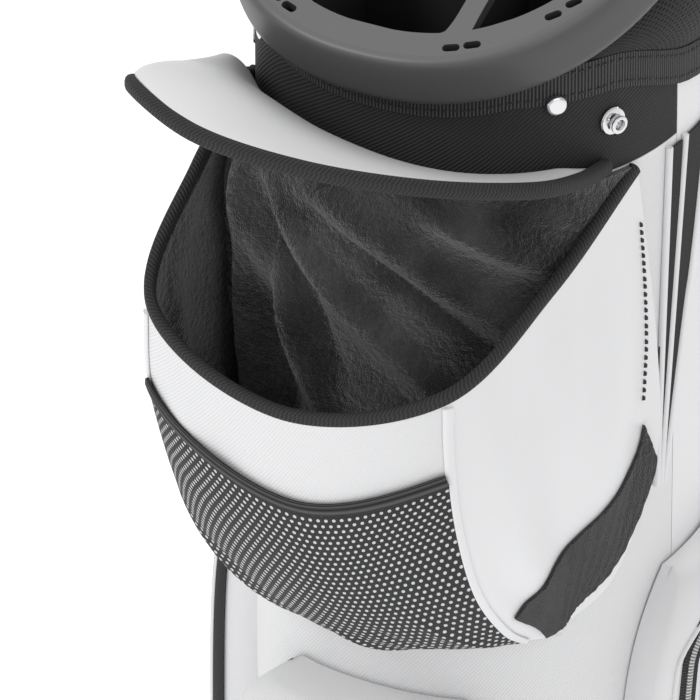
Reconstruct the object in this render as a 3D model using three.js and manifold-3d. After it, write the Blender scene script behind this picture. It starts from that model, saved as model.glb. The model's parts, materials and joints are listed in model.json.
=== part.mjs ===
// Golf staff bag with a nine-way slanted top, a fleece-lined front valuables pocket with a
// lift-up lid, a mesh pouch, zipped side and ball pockets, and a shoulder strap.
// Millimetres, +Z up, front towards -Y. The origin is the middle of the sole's underside.
import * as THREE from "three";
import { mergeVertices } from "three/addons/utils/BufferGeometryUtils.js";
import Module from "manifold-3d";

const wasm = await Module();
wasm.setup();

// ---------------------------------------------------------------- driving dimensions
const GAP = 0.4; // clearance between neighbouring pieces
const PROUD = 1.4; // clearance of a piece that lies on the curved tube
const SEAM = 1.4; // clearance where two panels meet at a bend
const SUPER = 2.25; // exponent of the rounded outline of bag, collar and base

const BODY = { a: 125, b: 133 }; // half width and half depth outside the fabric tube
const WALL = 3; // fabric tube with its foam backing
const SOLE = { a: 130, b: 139, h: 7 };
const CUP = { a: 129.5, b: 138.5, wall: 4, floor: 6, top: 66 };

const COLLAR = { a: 136, b: 149, z: 850, slant: 24, skirt: 34, wall: 4, plate: 7, chamfer: 6 };
const SLANT = THREE.MathUtils.degToRad(COLLAR.slant);
const WELL_X = 50; // the two lines of lengthways dividers
const WELL_Y = [-54, 34]; // the two crossways dividers
const DIVIDER = { t: 3, bottom: CUP.floor + SOLE.h + 3 };

const HINGE_Z = 726; // lower edge of the front band, where the pocket and lid start
// The webbing trim follows the collar in front, then drops to a lower level round the sides.
const TRIM = { front: 800, side: 772, dropFrom: 60, dropTo: 100 };
const TRIM_H = 22;
const BAND_ANGLE = 86; // the black band reaches this far round from the front
const BACK_ANGLE = 148; // the back panel starts here

const LID = { y: -146, length: 134, half: 120, lift: 30, thick: 6, lining: 2.4, edge: 4.2 };

// ---------------------------------------------------------------- small helpers
const rad = THREE.MathUtils.degToRad;
const V = (x, y, z) => new THREE.Vector3(x, y, z);
const mix = (p, q, t) => p + (q - p) * t;
const sgnPow = (x, p) => Math.sign(x) * Math.abs(x) ** p;

// A point of the rounded outline; the angle is from the front (-Y) towards +X, in degrees.
function rim(a, b, angle) {
  const t = rad(angle);
  return [a * sgnPow(Math.sin(t), 2 / SUPER), -b * sgnPow(Math.cos(t), 2 / SUPER)];
}

// The collar's lower plane at a given y.
const collarZ = (y) => COLLAR.z + y * Math.tan(SLANT);

const root = new THREE.Group();

function material(colour, roughness, metalness = 0) {
  return new THREE.MeshStandardMaterial({ color: colour, roughness, metalness });
}
const M = {
  white: material(0xf2f2f1, 0.62),
  twill: material(0x2b2b2d, 0.85),
  webbing: material(0x303032, 0.8),
  velour: material(0x242426, 0.98),
  mesh: material(0x29292b, 0.9),
  collar: material(0x5c5c5e, 0.55),
  plastic: material(0x3c3c3e, 0.5),
  chrome: material(0xc9cace, 0.2, 1),
  rubber: material(0x1f1f20, 0.9),
  divider: material(0x1b1b1c, 0.95),
  stay: material(0x8f9194, 0.4, 0.8),
};

function add(name, geometry, look, place) {
  const mesh = new THREE.Mesh(geometry, look);
  mesh.name = name;
  if (place) place(mesh);
  root.add(mesh);
  return mesh;
}

function meshOf(positions, index) {
  const geometry = new THREE.BufferGeometry();
  geometry.setAttribute("position", new THREE.Float32BufferAttribute(positions, 3));
  geometry.setIndex(index);
  return geometry;
}

function signedVolume(positions, index) {
  let sum = 0;
  for (let i = 0; i < index.length; i += 3) {
    const [p, q, r] = [0, 1, 2].map((k) => V(...positions.slice(3 * index[i + k], 3 * index[i + k] + 3)));
    sum += p.dot(q.cross(r)) / 6;
  }
  return sum;
}

// A closed slab: place(u, v, side) gives its skin at side 1 and its inner face at side 0.
function slab(place, nu, nv) {
  const positions = [];
  const index = [];
  const at = (i, j, side) => side * (nu + 1) * (nv + 1) + j * (nu + 1) + i;
  for (const side of [0, 1])
    for (let j = 0; j <= nv; j++)
      for (let i = 0; i <= nu; i++) positions.push(...place(i / nu, j / nv, side));
  const quad = (a, b, c, d) => index.push(a, b, c, a, c, d);
  for (let j = 0; j < nv; j++)
    for (let i = 0; i < nu; i++) {
      quad(at(i, j, 1), at(i + 1, j, 1), at(i + 1, j + 1, 1), at(i, j + 1, 1));
      quad(at(i, j + 1, 0), at(i + 1, j + 1, 0), at(i + 1, j, 0), at(i, j, 0));
    }
  for (let i = 0; i < nu; i++) {
    quad(at(i, 0, 0), at(i + 1, 0, 0), at(i + 1, 0, 1), at(i, 0, 1));
    quad(at(i, nv, 1), at(i + 1, nv, 1), at(i + 1, nv, 0), at(i, nv, 0));
  }
  for (let j = 0; j < nv; j++) {
    quad(at(0, j, 1), at(0, j + 1, 1), at(0, j + 1, 0), at(0, j, 0));
    quad(at(nu, j, 0), at(nu, j + 1, 0), at(nu, j + 1, 1), at(nu, j, 1));
  }
  if (signedVolume(positions, index) < 0) index.reverse();
  return meshOf(positions, index);
}

// manifold-3d joins and cuts.
function solid(geometry) {
  const bare = geometry.clone();
  bare.deleteAttribute("normal");
  bare.deleteAttribute("uv");
  const merged = mergeVertices(bare, 1e-4);
  return new wasm.Manifold(
    new wasm.Mesh({
      numProp: 3,
      vertProperties: merged.attributes.position.array,
      triVerts: new Uint32Array(merged.index.array),
    }),
  );
}
function shell(manifold) {
  const mesh = manifold.getMesh();
  return meshOf(Array.from(mesh.vertProperties), Array.from(mesh.triVerts));
}
const join = (...pieces) => shell(pieces.map(solid).reduce((sum, piece) => sum.add(piece)));
const cut = (whole, ...tools) => shell(tools.map(solid).reduce((left, tool) => left.subtract(tool), solid(whole)));

function ovalShape(a, b, steps) {
  const shape = new THREE.Shape();
  for (let i = 0; i < steps; i++) {
    const [x, y] = rim(a, b, (360 * i) / steps);
    if (i) shape.lineTo(x, y);
    else shape.moveTo(x, y);
  }
  shape.closePath();
  return shape;
}
function extrude(shape, depth, z = 0) {
  return new THREE.ExtrudeGeometry(shape, { depth, bevelEnabled: false, curveSegments: 5 }).translate(0, 0, z);
}
function ring(a, b, wall, depth, z, steps) {
  const shape = ovalShape(a, b, steps);
  shape.holes.push(ovalShape(a - wall, b - wall, steps));
  return extrude(shape, depth, z);
}

// A bar of small section swept along a smooth line.
function sweep(points, width, height, steps, sides = 8) {
  const section = new THREE.Shape();
  for (let i = 0; i < sides; i++) {
    const t = (2 * Math.PI * (i + 0.5)) / sides;
    const [x, y] = [(width / 2) * Math.cos(t), (height / 2) * Math.sin(t)];
    if (i) section.lineTo(x, y);
    else section.moveTo(x, y);
  }
  section.closePath();
  const extrudePath = new THREE.CatmullRomCurve3(points, false, "centripetal");
  return new THREE.ExtrudeGeometry(section, { steps, extrudePath, bevelEnabled: false });
}

// ---------------------------------------------------------------- base and stays
function makeBase() {
  add("base_sole", extrude(ovalShape(SOLE.a, SOLE.b, 40), SOLE.h), M.rubber);
  const from = SOLE.h + GAP;
  add(
    "base_cup",
    join(
      extrude(ovalShape(CUP.a, CUP.b, 40), CUP.floor, from),
      ring(CUP.a, CUP.b, CUP.wall, CUP.top - from, from, 40),
    ),
    M.plastic,
  );
}

// Three stiff rods stand in the cup and hold the collar up, just inside the tube.
const STAY = { r: 4.5, inset: 9.5 };
function makeStays() {
  const low = CUP.floor + SOLE.h + 1;
  for (const [name, angle] of [["stay_left", -112], ["stay_right", 112], ["stay_rear", 180]]) {
    const [x, y] = rim(BODY.a - STAY.inset, BODY.b - STAY.inset, angle);
    const top = collarZ(y - STAY.r) - COLLAR.plate - 4;
    add(name, new THREE.CylinderGeometry(STAY.r, STAY.r, top - low, 10), M.stay, (rod) => {
      rod.rotation.x = Math.PI / 2;
      rod.position.set(x, y, (low + top) / 2);
    });
  }
}

// ---------------------------------------------------------------- tube of fabric panels
// A curved panel of the tube between two angles and two heights; out and thick are measured
// from the tube's outside, and the heights may depend on the angle.
function panel({ from, to, low, high, out = 0, thick = WALL, bulge = 0, steps = 12, rows = 1 }) {
  const value = (h, angle) => (typeof h === "function" ? h(angle) : h);
  return slab(
    (u, v, side) => {
      const angle = mix(from, to, u);
      const puff = side * bulge * (Math.sin(Math.PI * u) * Math.sin(Math.PI * v) + 1e-9) ** 0.7;
      const grow = out - (1 - side) * thick + puff;
      const [x, y] = rim(BODY.a + grow, BODY.b + grow, angle);
      return [x, y, mix(value(low, angle), value(high, angle), v)];
    },
    steps,
    rows,
  );
}

const underCollar = (angle) => collarZ(rim(BODY.a, BODY.b, angle)[1]) - 2.5;
const trimTop = (angle) => {
  const t = Math.min(1, Math.max(0, (Math.abs(angle) - TRIM.dropFrom) / (TRIM.dropTo - TRIM.dropFrom)));
  const level = TRIM.front + (TRIM.side - TRIM.front) * t * t * (3 - 2 * t);
  return Math.min(underCollar(angle), level);
};
const trimLow = (angle) => trimTop(angle) - TRIM_H;
const ANGLE_GAP = 0.25; // degrees between neighbouring panels

function makeTube() {
  const low = CUP.top + GAP;
  const g = ANGLE_GAP;
  add("front_panel", panel({ from: -BAND_ANGLE, to: BAND_ANGLE, low, high: HINGE_Z - GAP, steps: 20 }), M.white);
  add(
    "front_band",
    panel({ from: -BAND_ANGLE, to: BAND_ANGLE, low: HINGE_Z, high: (t) => trimLow(t) - SEAM, steps: 24 }),
    M.twill,
  );
  add(
    "webbing_trim",
    panel({ from: -BACK_ANGLE, to: BACK_ANGLE, low: trimLow, high: trimTop, out: 1, thick: WALL + 1, steps: 48 }),
    M.webbing,
  );
  for (const [side, s] of [["left", -1], ["right", 1]]) {
    const sweepTo = { from: s * (BAND_ANGLE + g), to: s * BACK_ANGLE };
    add(`side_panel_${side}`, panel({ ...sweepTo, low, high: (t) => trimLow(t) - SEAM, steps: 12 }), M.white);
    add(
      `mesh_pad_${side}`,
      panel({
        from: s * 56,
        to: s * BACK_ANGLE,
        low: (t) => trimTop(t) + SEAM,
        high: underCollar,
        thick: WALL,
        bulge: 11,
        steps: 12,
        rows: 4,
      }),
      M.mesh,
    );
  }
  add(
    "back_panel",
    panel({ from: BACK_ANGLE + g, to: 360 - BACK_ANGLE - g, low, high: underCollar, steps: 10 }),
    M.white,
  );
}

// ---------------------------------------------------------------- top collar and dividers
// Well openings lie between the divider lines, inside a broad rim.
const RIM_WIDTH = 20;
const RIM_SHIFT = 4; // the rim is a little broader in front than behind
const BAR = 6; // half width of the collar's bars
function wellShape(col, row) {
  const edge = { a: COLLAR.a - RIM_WIDTH, b: COLLAR.b / Math.cos(SLANT) - RIM_WIDTH };
  // an upright divider meets the slanted plate here
  const lift = (COLLAR.skirt - COLLAR.plate / 2) * Math.tan(SLANT);
  const [front, rear] = WELL_Y.map((y) => y / Math.cos(SLANT) + lift);
  const x0 = col < 0 ? -edge.a : col === 0 ? -WELL_X + BAR : WELL_X + BAR;
  const x1 = col < 0 ? -WELL_X - BAR : col === 0 ? WELL_X - BAR : edge.a;
  const y0 = row < 0 ? -edge.b : row === 0 ? front + BAR : rear + BAR;
  const y1 = row < 0 ? front - BAR : row === 0 ? rear - BAR : edge.b;
  const inside = (x, y) => {
    const reach = (Math.abs(x / edge.a) ** SUPER + Math.abs((y - RIM_SHIFT) / edge.b) ** SUPER) ** (1 / SUPER);
    return reach > 1 ? [x / reach, RIM_SHIFT + (y - RIM_SHIFT) / reach] : [x, y];
  };
  // a rounded box in superellipse form, pulled in to the rim where it passes it
  const shape = new THREE.Path();
  const steps = 20;
  for (let i = 0; i < steps; i++) {
    const t = (2 * Math.PI * (i + 0.5)) / steps;
    const x = (x0 + x1) / 2 + ((x1 - x0) / 2) * sgnPow(Math.cos(t), 0.42);
    const y = (y0 + y1) / 2 + ((y1 - y0) / 2) * sgnPow(Math.sin(t), 0.42);
    const [px, py] = inside(x, y);
    if (i) shape.lineTo(px, py);
    else shape.moveTo(px, py);
  }
  shape.closePath();
  return shape;
}

function slottedPlate() {
  const b = COLLAR.b / Math.cos(SLANT);
  const plate = ovalShape(COLLAR.a - COLLAR.chamfer, b - COLLAR.chamfer, 48);
  for (const row of [-1, 0, 1]) for (const col of [-1, 0, 1]) plate.holes.push(wellShape(col, row));
  return extrude(plate, COLLAR.plate, COLLAR.skirt - COLLAR.plate);
}

// A hand loop moulded on the collar's rear.
const GRAB = { half: 62, reach: 42, bar: 13, low: 10, h: 15 };
function grabHandle(b) {
  const outer = new THREE.Shape();
  const hole = new THREE.Path();
  for (const [path, inset] of [[outer, 0], [hole, GRAB.bar]]) {
    const start = b - (inset ? -2 : 24);
    path.moveTo(-GRAB.half + inset, start);
    path.lineTo(GRAB.half - inset, start);
    path.lineTo(GRAB.half - inset - 8, b + GRAB.reach - inset - 6);
    path.lineTo(GRAB.half - inset - 22, b + GRAB.reach - inset);
    path.lineTo(-GRAB.half + inset + 22, b + GRAB.reach - inset);
    path.lineTo(-GRAB.half + inset + 8, b + GRAB.reach - inset - 6);
    path.closePath();
  }
  outer.holes.push(hole);
  const hollow = extrude(ovalShape(COLLAR.a - COLLAR.wall, b - COLLAR.wall, 48), 40);
  return cut(extrude(outer, GRAB.h, GRAB.low), hollow);
}

function makeCollar() {
  const b = COLLAR.b / Math.cos(SLANT);
  const skirt = slab(
    (u, v, side) => {
      const inset = (1 - side) * COLLAR.wall + COLLAR.chamfer * v ** 2;
      const [x, y] = rim(COLLAR.a - inset, b - inset, 360 * u);
      return [x, y, COLLAR.skirt * v];
    },
    48,
    3,
  );
  // the ledge that sits over the tube's upper edge
  const ledge = ovalShape(COLLAR.a - COLLAR.wall / 2, b - COLLAR.wall / 2, 48);
  ledge.holes.push(ovalShape(BODY.a - 1, BODY.b / Math.cos(SLANT) - 1, 48));
  const whole = join(skirt, extrude(ledge, 3, 0.6), slottedPlate(), grabHandle(b));
  add("top_collar", whole, M.collar, (mesh) => {
    mesh.rotation.x = SLANT;
    mesh.position.set(0, 0, COLLAR.z);
  });
}

// Full-length dividers hang from the collar's bars to just above the base.
function dividerPanel(x0, x1, y0, y1) {
  const under = (COLLAR.skirt - COLLAR.plate) / Math.cos(SLANT) - 1;
  return slab(
    (u, v, side) => {
      const y = mix(y0, y1, side);
      const top = collarZ(y) + under;
      return [mix(x0, x1, u), y, mix(DIVIDER.bottom, top, v)];
    },
    1,
    1,
  );
}

// Half width of the tube's inside at a given y, less a margin.
function innerHalf(y, margin) {
  const [a, b] = [BODY.a - WALL - margin, BODY.b - WALL - margin];
  return a * (1 - Math.abs(y / b) ** SUPER) ** (1 / SUPER);
}
function innerDepth(x, margin) {
  const [a, b] = [BODY.a - WALL - margin, BODY.b - WALL - margin];
  return b * (1 - Math.abs(x / a) ** SUPER) ** (1 / SUPER);
}

function makeDividers() {
  const t = DIVIDER.t / 2;
  for (const [name, y] of [["divider_cross_front", WELL_Y[0]], ["divider_cross_rear", WELL_Y[1]]]) {
    const half = innerHalf(Math.abs(y) + t, 4);
    add(name, dividerPanel(-half, half, y - t, y + t), M.divider);
  }
  const reach = innerDepth(WELL_X + t, 6);
  const rows = [
    ["front", -reach, WELL_Y[0] - t - GAP],
    ["middle", WELL_Y[0] + t + GAP, WELL_Y[1] - t - GAP],
    ["rear", WELL_Y[1] + t + GAP, reach],
  ];
  for (const [row, y0, y1] of rows)
    for (const [side, x] of [["left", -WELL_X], ["right", WELL_X]])
      add(`divider_${row}_${side}`, dividerPanel(x - t, x + t, y0, y1), M.divider);
}

// ---------------------------------------------------------------- front valuables pocket
// Rails run from the pocket's foot to its rim: rear edges on the tube, gusset middles, corner
// seams and the centre of the front. The open pocket sags a little to its right.
const line = (points) => new THREE.CatmullRomCurve3(points.map((p) => V(...p)), false, "centripetal");
function rearRail(s) {
  const seam = [[44, 438], [61, 460], [72, 499], [78, 537], [77, 600], [69.5, HINGE_Z - 6]];
  return line(seam.map(([angle, z]) => [...rim(BODY.a + 4.6, BODY.b + 4.6, s * angle), z]));
}
const RAILS = [
  rearRail(-1),
  line([[-100, -99, 439], [-112, -105, 480], [-116, -115, 530], [-117, -125, 600], [-116, -134, 655], [-115, -137, 700]]),
  line([[-87, -112, 438], [-99, -140, 468], [-104, -164, 505], [-107, -187, 560], [-109, -199, 605], [-108, -203, 648]]),
  line([[0, -139, 433], [0, -165, 447], [0, -190, 476], [0, -213, 518], [-2, -229, 570], [-6, -234, 619]]),
  line([[85, -114, 438], [88, -146, 462], [87, -180, 505], [85, -200, 560], [84, -207, 605], [84, -209, 641]]),
  line([[100, -99, 439], [109, -106, 488], [113, -116, 530], [115, -124, 580], [113, -130, 630], [110, -131, 679]]),
  rearRail(1),
];

// A point of the pocket's skin: t runs -1 (left rear edge) to 1, w from foot to rim, and depth
// is how far inside the skin.
function pocketSkin(t, w, depth = 0) {
  const curve = new THREE.CatmullRomCurve3(RAILS.map((rail) => rail.getPoint(w)), false, "centripetal");
  const p = curve.getPoint((t + 1) / 2);
  if (depth) {
    const tangent = curve.getTangent((t + 1) / 2).setZ(0).normalize();
    p.add(V(-tangent.y, tangent.x, 0).multiplyScalar(depth));
  }
  return [p.x, p.y, p.z];
}
const SEAM_T = 1 / 3; // where the side seams run
const SKIN = 2.6;
const LINER = { from: SKIN + 1.8, thick: 2 };

function pocketSlab(t0, t1, w0, w1, near, far, nu, nv) {
  return slab((u, v, side) => pocketSkin(mix(t0, t1, u), mix(w0, w1, v), side ? near : far), nu, nv);
}

function makePocket() {
  add("pocket_front", pocketSlab(-SEAM_T + 0.004, SEAM_T - 0.004, 0, 1, 0, SKIN, 12, 8), M.white);
  add("pocket_gusset_left", pocketSlab(-1, -SEAM_T, 0, 1, 0, SKIN, 10, 8), M.white);
  add("pocket_gusset_right", pocketSlab(SEAM_T, 1, 0, 1, 0, SKIN, 10, 8), M.white);
  add("pocket_liner", pocketSlab(-0.9, 0.9, 0.12, 1, LINER.from, LINER.from + LINER.thick, 24, 6), M.velour);
  add(
    "pocket_back_lining",
    panel({ from: -44, to: 44, low: 470, high: HINGE_Z - 8, out: GAP + 2, thick: 2, steps: 14 }),
    M.velour,
  );
  // the binding rides above the edges of skin and liner
  const lift = 5.2;
  const path = [];
  for (let i = 0; i <= 16; i++) {
    const t = mix(-0.93, 0.93, i / 16);
    const [x, y, z] = pocketSkin(t, 1, (SKIN + LINER.from + LINER.thick) / 4);
    path.push(V(x, y, z + lift));
  }
  add("pocket_rim_binding", sweep(path, 7, 7, 48, 6), M.twill);
}

// Mesh pouch: lies on the lower front of the pocket, with an elastic band along its mouth.
function makeMeshPouch() {
  const away = -1.4;
  const thick = 1.6;
  const mouth = 0.66;
  add("mesh_pouch", pocketSlab(-SEAM_T, SEAM_T, 0.06, mouth, away - thick, away, 12, 6), M.mesh);
  add(
    "mesh_band",
    pocketSlab(-SEAM_T, SEAM_T, mouth + 0.006, mouth + 0.1, away - thick - 0.8, away, 12, 1),
    M.webbing,
  );
}

// Black loop-pile strip along the gusset's lower rear edge.
function makePileStrips() {
  for (const [side, s] of [["left", -1], ["right", 1]])
    add(
      `pile_strip_${side}`,
      pocketSlab(s * 0.74, s * 0.985, 0.07, 0.5, -4, -2.6, 4, 8),
      M.velour,
    );
}

// ---------------------------------------------------------------- lid
// The lid stands open at rest. In its own frame it lies flat, running from the hinge along -Y.
const lidHalf = (l, inset = 0) => (LID.half - inset) * (1 - (l / (LID.length - inset)) ** 3.2) ** (1 / 2.2);
const lidCrown = (x, l) => 7 * Math.cos((Math.PI * x) / (2 * LID.half)) * Math.sin((Math.PI * l) / LID.length);

function lidSlab(low, high, inset) {
  const end = LID.length - inset;
  return slab(
    (u, v, side) => {
      // the rows crowd towards the tip, where the outline closes fast
      const l = 4 + (0.985 * end - 4) * Math.sin((Math.PI / 2) * v);
      const x = mix(-1, 1, u) * lidHalf(l, inset);
      return [x, -l, lidCrown(x, l) + (side ? high : low)];
    },
    10,
    10,
  );
}

function makeLid() {
  const lid = new THREE.Group();
  lid.position.set(0, LID.y, HINGE_Z + 3);
  lid.rotation.x = -rad(LID.lift);
  root.add(lid);
  const inset = LID.edge + 1.6;
  const put = (name, geometry, look) => {
    const mesh = new THREE.Mesh(geometry, look);
    mesh.name = name;
    lid.add(mesh);
  };
  put("lid_panel", lidSlab(GAP, LID.thick, inset), M.white);
  put("lid_lining", lidSlab(-LID.lining, -GAP, inset + 1), M.velour);
  const path = [];
  for (let i = 0; i <= 24; i++) {
    const angle = Math.PI * (i / 24);
    // equal turns round the outline, from the right hinge corner to the left one
    const l = 5 + (LID.length - 5.4) * Math.sin(angle);
    const x = Math.abs(angle - Math.PI / 2) < 1e-6 ? 0 : Math.sign(Math.cos(angle)) * lidHalf(l);
    path.push(V(x, -l, lidCrown(x, l) + 1.5));
  }
  put("lid_binding", sweep(path, 2 * LID.edge, 7, 60, 6), M.twill);
}

// Crescent of lid fabric between the curved front band and the lid's straight fold.
function makeLidWeb() {
  const web = slab(
    (u, v, side) => {
      const x = mix(-LID.half + 2, LID.half - 2, u);
      const [a, b] = [BODY.a + 1.6, BODY.b + 1.6];
      const rear = -b * (1 - Math.abs(x / a) ** SUPER) ** (1 / SUPER);
      return [x, mix(rear, LID.y + 4, v), HINGE_Z + 0.6 + 3 * side];
    },
    16,
    2,
  );
  add("lid_hinge_web", web, M.white);
}

// Dark accent strip that leans back up each side panel, with a pointed foot.
const INSET = { foot: 514, top: 694, footAngle: 80, topAngle: 96, width: 6.5 };
function makeInsets() {
  for (const [side, s] of [["left", -1], ["right", 1]]) {
    const strip = slab(
      (u, v, face) => {
        const half = 0.5 + (INSET.width / 2) * Math.min(1, 3 * v);
        const angle = mix(INSET.footAngle, INSET.topAngle, v) + mix(-half, half, u);
        const grow = 0.9 + 1.6 * face;
        const [x, y] = rim(BODY.a + grow, BODY.b + grow, s * angle);
        return [x, y, mix(INSET.foot, INSET.top, v)];
      },
      3,
      8,
    );
    add(`side_inset_${side}`, strip, M.twill);
  }
}

// Towel ring: hangs from a sewn tab high on the left of the back panel.
const TOWEL = { angle: -158, z: 700, r: 19, wire: 2 };
function makeTowelRing() {
  const [x, y] = rim(BODY.a + GAP, BODY.b + GAP, TOWEL.angle);
  const group = new THREE.Group();
  group.position.set(x, y, TOWEL.z);
  group.rotation.z = rad(TOWEL.angle);
  root.add(group);
  const block = new THREE.BoxGeometry(20, 9, 26).translate(0, -5.2, 9);
  const tunnel = new THREE.CylinderGeometry(3.6, 3.6, 40, 12).rotateZ(Math.PI / 2).translate(0, -5.2, 0);
  const tab = new THREE.Mesh(cut(block, tunnel), M.webbing);
  tab.name = "towel_tab";
  group.add(tab);
  const shape = new THREE.Shape();
  const hole = new THREE.Path();
  for (const [path, grow] of [[shape, TOWEL.wire], [hole, -TOWEL.wire]]) {
    path.moveTo(-TOWEL.r - grow, grow);
    path.lineTo(-TOWEL.r - grow, -14);
    path.absarc(0, -14, TOWEL.r + grow, Math.PI, 2 * Math.PI, false);
    path.lineTo(TOWEL.r + grow, grow);
    path.closePath();
  }
  shape.holes.push(hole);
  const wire = new THREE.ExtrudeGeometry(shape, { depth: 4, bevelEnabled: false, curveSegments: 12 });
  wire.translate(0, 0, -2).rotateX(Math.PI / 2).translate(0, -5.2, 0);
  const ringMesh = new THREE.Mesh(wire, M.chrome);
  ringMesh.name = "towel_ring";
  group.add(ringMesh);
}

// ---------------------------------------------------------------- zipped pockets
// A stuffed pocket starts on the tube, swells between its edges and has a rounded top.
// This is a point of it: side 1 is the skin, side 0 the face against the tube.
function stuffedPoint(pocket, u, v, side) {
  const spread = Math.abs(2 * u - 1);
  const narrow = 1 - 0.45 * v ** 9;
  const angle = mix((pocket.from + pocket.to) / 2, u < 0.5 ? pocket.from : pocket.to, spread * narrow);
  const swell = ((1 - spread ** 4) * (1 - Math.abs(2 * v - 1) ** 5)) ** 0.35;
  const grow = PROUD + side * (6 + pocket.bulge * swell);
  return [...rim(BODY.a + grow, BODY.b + grow, angle), mix(pocket.low, pocket.high, v)];
}
const stuffed = (pocket) => slab((u, v, side) => stuffedPoint(pocket, u, v, side), 12, 12);

const BALL = { from: -40, to: 40, low: 92, high: 396, bulge: 38 };
const SIDE = { from: 66, to: 136, low: 84, high: 452, bulge: 27 };

function makeZippedPockets() {
  add("ball_pocket", stuffed(BALL), M.white);
  for (const [side, s] of [["left", -1], ["right", 1]])
    add(`side_pocket_${side}`, stuffed({ ...SIDE, from: s * SIDE.from, to: s * SIDE.to }), M.white);
}

// Zip sliders: a body that runs along a straight stretch of its zip, and a pull tab whose eye
// hangs under the slider's bridge. In their frame +Z is up the zip and +Y is out of the pocket.
const SLIDER = { w: 9, h: 13, d: 4, clear: 2 };
const TAB = { w: 7, h: 28, d: 1.8, out: SLIDER.d + 1.9 };
function zipSlider(name, pocket, u, z) {
  const v = (z - pocket.low) / (pocket.high - pocket.low);
  const skin = V(...stuffedPoint(pocket, u, v, 1));
  const along = V(...stuffedPoint(pocket, u + 0.02, v, 1)).sub(skin);
  const outward = V(along.y, -along.x, 0).normalize();
  if (outward.x * skin.x + outward.y * skin.y < 0) outward.negate();
  const group = new THREE.Group();
  group.position.copy(skin).addScaledVector(outward, SLIDER.clear);
  group.rotation.z = Math.atan2(-outward.x, outward.y);
  root.add(group);
  const put = (piece, geometry, look) => {
    const mesh = new THREE.Mesh(geometry, look);
    mesh.name = `${name}_${piece}`;
    group.add(mesh);
  };
  const box = (w, d, h, x, y, up) => new THREE.BoxGeometry(w, d, h).translate(x, y, up);
  put(
    "slider",
    join(
      box(SLIDER.w, SLIDER.d, SLIDER.h, 0, SLIDER.d / 2, 0),
      box(1.6, 5, 1.6, 0, SLIDER.d + 2, 3.6),
      box(1.6, 5, 1.6, 0, SLIDER.d + 2, -3.6),
      box(1.6, 1.4, 8.8, 0, SLIDER.d + 4, 0),
    ),
    M.chrome,
  );
  put(
    "pull_tab",
    join(
      box(9, TAB.d, 1.8, 0, TAB.out, 0),
      box(1.6, TAB.d, 9, -3.7, TAB.out, -3.6),
      box(1.6, TAB.d, 9, 3.7, TAB.out, -3.6),
      box(TAB.w + 2, TAB.d, TAB.h, 0, TAB.out, -7.6 - TAB.h / 2),
    ),
    M.rubber,
  );
}
const ZIP = { side: 0.14, sideTop: 182, ball: 0.87, ballTop: 330 };

function makeZips() {
  zipSlider("side_zip_right", SIDE, ZIP.side, ZIP.sideTop);
  zipSlider("side_zip_left", { ...SIDE, from: -SIDE.from, to: -SIDE.to }, ZIP.side, ZIP.sideTop);
  zipSlider("ball_zip", BALL, ZIP.ball, ZIP.ballTop);
}

// ---------------------------------------------------------------- metal studs and rivets
// Turned pieces stand out of the band; the profile runs from the axis back to the axis.
function turned(profile, angle, z, out) {
  const geometry = new THREE.LatheGeometry(profile.map(([r, h]) => new THREE.Vector2(r, h)), 16);
  const [x, y] = rim(BODY.a + out, BODY.b + out, angle);
  const [x2, y2] = rim(BODY.a + out, BODY.b + out, angle + 1);
  const outward = V(y2 - y, x - x2, 0).normalize();
  const place = (mesh) => {
    mesh.quaternion.setFromUnitVectors(V(0, 1, 0), outward);
    mesh.position.set(x, y, z);
  };
  return [geometry, place];
}
const STUD = [[0, 0], [7.6, 0], [7.6, 1.4], [6, 2.4], [4.4, 2.6], [4.1, 5.4], [4.6, 6.6], [3.8, 7.4], [2.2, 7.4], [2, 3.4], [0, 3.4]];
const RIVET = [[0, 0], [5.6, 0], [5.6, 1.2], [4.2, 3], [0, 3]];

function makeStuds() {
  for (const [side, s] of [["left", -1], ["right", 1]]) {
    const [stud, placeStud] = turned(STUD, s * 62, 758, GAP + 0.6);
    add(`hood_stud_${side}`, stud, M.chrome, placeStud);
    const [rivet, placeRivet] = turned(RIVET, s * 45, 778, GAP + 1.6);
    add(`collar_rivet_${side}`, rivet, M.chrome, placeRivet);
  }
}

// ---------------------------------------------------------------- strap, rings and handle
// The strap bows out from the back between two wire rings held in sewn tabs.
const STRAP = { web: 32, pad: 62, padThick: 14, top: 792, low: 236, bow: 92 };
const RING = { r: 21, wire: 2.6, lean: { top: -40, bottom: 40 } };
const backY = BODY.b + GAP;

function strapCurve(u, top, low) {
  const z = mix(low, top, u);
  const y = backY + 18 + (STRAP.bow - 18) * Math.max(0, Math.sin(Math.PI * u)) ** 0.8;
  return [y, z];
}
function strapSlab(u0, u1, width, thick, nv, out = 0) {
  const top = STRAP.top - 16;
  const low = STRAP.low + 16;
  return slab(
    (u, v, side) => {
      const s = mix(u0, u1, v);
      const [y, z] = strapCurve(s, top, low);
      const [y2, z2] = strapCurve(s + 0.002, top, low);
      const normal = V(0, z2 - z, y - y2).normalize();
      const reach = out + (side ? thick : 0);
      return [mix(-width / 2, width / 2, u), y + normal.y * reach, z + normal.z * reach];
    },
    2,
    nv,
  );
}

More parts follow.
